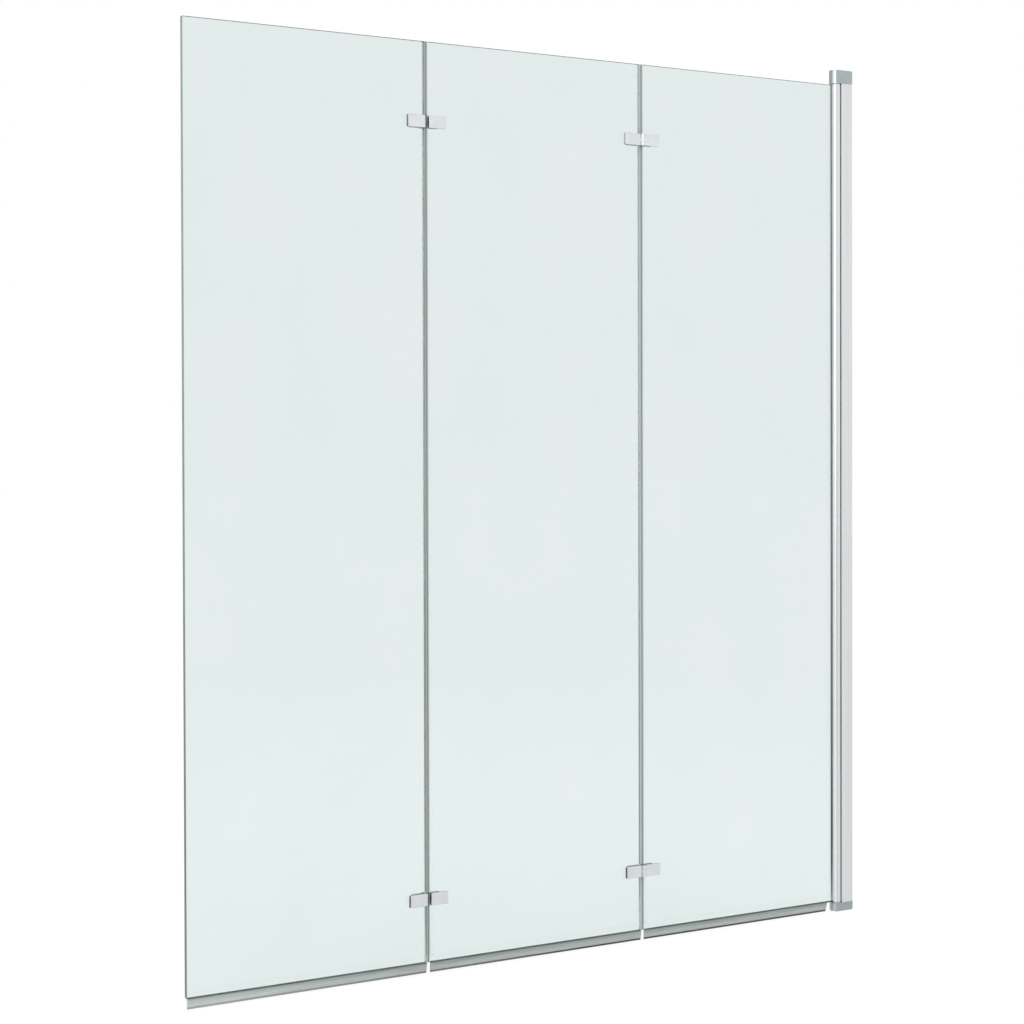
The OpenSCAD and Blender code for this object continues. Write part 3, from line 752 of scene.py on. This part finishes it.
# Parts of the studio that reflections show darker or brighter than 1: the direction of each,
# the cosines between which it comes in, and its level
STUDIO_PARTS = (
    ((-0.53, 0.848, 0.0), 0.9816, 0.9914, 0.12),
    ((-0.866, 0.5, 0.0), 0.9563, 0.978, 0.35),
    ((0.64, 0.76, 0.12), 0.88, 0.96, 0.45),
    ((-0.76, -0.65, 0.0), 0.7, 0.9, 1.25),
)
LIGHT_AIM = (-0.62, -0.7, 0.35)
LIGHT_COSINES = (-0.6, 0.9)
LIGHT_HIGH, LIGHT_LOW = 1.3, 0.65


def by_ray(tree, seen, glossy, diffuse):
    """One value where a ray comes straight from the camera, and others after a reflection."""
    path = add_node(tree, "LightPath").outputs
    mirrored = calculated(tree, "GREATER_THAN", path["Glossy Depth"], 0.5)
    scattered = calculated(tree, "GREATER_THAN", path["Diffuse Depth"], 0.5)
    first = add_node(tree, "Mix", {0: mirrored, 2: seen, 3: glossy}).outputs[0]
    return add_node(tree, "Mix", {0: scattered, 2: first, 3: diffuse}).outputs[0]


def floor_material():
    """A pale matt floor that glows evenly away from the screen and more near it, painted light
    over its shadow, and is dark in reflections behind the screen.
    """
    mat, tree = new_material("pale_floor")
    grey = (FLOOR_GREY, FLOOR_GREY, FLOOR_GREY, 1)
    shade = add_node(tree, "BsdfDiffuse", {"Color": grey}).outputs[0]
    place = object_place(tree)
    away = add_node(tree, "VectorMath", {0: place}, operation="LENGTH").outputs["Value"]
    seen = map_range(tree, away, NEAR_END, FAR_END, FLOOR_NEAR, FLOOR_FAR)
    level = by_ray(tree, seen, FLOOR_MIRRORED, FLOOR_SCATTERED)
    glow = add_node(tree, "Emission", {"Color": WHITE, "Strength": level}).outputs[0]
    pale = joined_shaders(tree, "AddShader", shade, glow)
    along, behind = add_node(tree, "SeparateXYZ", {"Vector": place}).outputs[:2]
    full = map_range(tree, along, DARK_START_X, DARK_END_X, DARK_NEAR, DARK_FAR)
    dark = map_range(tree, behind, DARK_START_Y, DARK_END_Y, 0.0, full)
    black = add_node(tree, "Emission", {"Strength": 0.0}).outputs[0]
    part = by_ray(tree, 0.0, dark, 0.0)
    finish_surface(tree, joined_shaders(tree, "MixShader", pale, black, Fac=part))
    return mat


def make_floor():
    bm = bmesh.new()
    bmesh.ops.create_grid(bm, x_segments=FLOOR_CELLS, y_segments=FLOOR_CELLS, size=FLOOR_REACH)
    mesh = bpy.data.meshes.new("floor")
    bm.to_mesh(mesh)
    bm.free()
    floor = bpy.data.objects.new("floor", mesh)
    floor.location = (FLOOR_X, 0, FLOOR_Z)
    bpy.context.scene.collection.objects.link(floor)
    mesh.materials.append(floor_material())


def toward(tree, direction, aim, start, end, near, far):
    """A value that goes from far to near as a direction turns towards an aim."""
    cosine = add_node(
        tree, "VectorMath", {0: direction, 1: aim}, operation="DOT_PRODUCT"
    ).outputs["Value"]
    return map_range(tree, cosine, start, end, far, near, interpolation_type="SMOOTHSTEP")


def make_world():
    """White where it is seen, and a soft studio in reflections and as light."""
    world = bpy.data.worlds.new("studio")
    bpy.context.scene.world = world
    world.use_nodes = True
    tree = world.node_tree
    tree.nodes.clear()
    direction = add_node(tree, "TexCoord").outputs["Generated"]
    parts = [toward(tree, direction, *part, 1.0) for part in STUDIO_PARTS]
    mirrored = parts[0]
    for part in parts[1:]:
        mirrored = calculated(tree, "MULTIPLY", mirrored, part)
    light = toward(tree, direction, LIGHT_AIM, *LIGHT_COSINES, LIGHT_HIGH, LIGHT_LOW)
    level = by_ray(tree, 1.0, mirrored, light)
    back = add_node(tree, "Background", {"Color": WHITE, "Strength": level}).outputs[0]
    add_node(tree, "OutputWorld", {"Surface": back})


def make_camera():
    """The photograph's viewpoint: slightly above the middle, in front of the free edge."""
    azimuth = math.radians(CAMERA_AZIMUTH)
    elevation = math.radians(CAMERA_ELEVATION)
    roll = math.radians(CAMERA_ROLL)
    back = Vector(
        (
            math.sin(azimuth) * math.cos(elevation),
            -math.cos(azimuth) * math.cos(elevation),
            math.sin(elevation),
        )
    )
    right = Vector((0, 0, 1)).cross(back).normalized()
    up = back.cross(right)
    turned_right = math.cos(roll) * right + math.sin(roll) * up
    turned_up = -math.sin(roll) * right + math.cos(roll) * up
    data = bpy.data.cameras.new("camera")
    data.sensor_width = SENSOR_W
    data.lens = FOCAL_PIXELS / FRAME_PIXELS * SENSOR_W
    data.shift_y = SHIFT_PIXELS / FRAME_PIXELS
    data.clip_start, data.clip_end = 0.05, 200.0
    camera = bpy.data.objects.new("camera", data)
    axes = Matrix((turned_right, turned_up, back)).transposed()
    camera.matrix_world = Matrix.Translation(CAMERA_PLACE) @ axes.to_4x4()
    bpy.context.scene.collection.objects.link(camera)
    bpy.context.scene.camera = camera


make_floor()
make_world()
make_camera()
bpy.context.scene.view_settings.view_transform = "Standard"
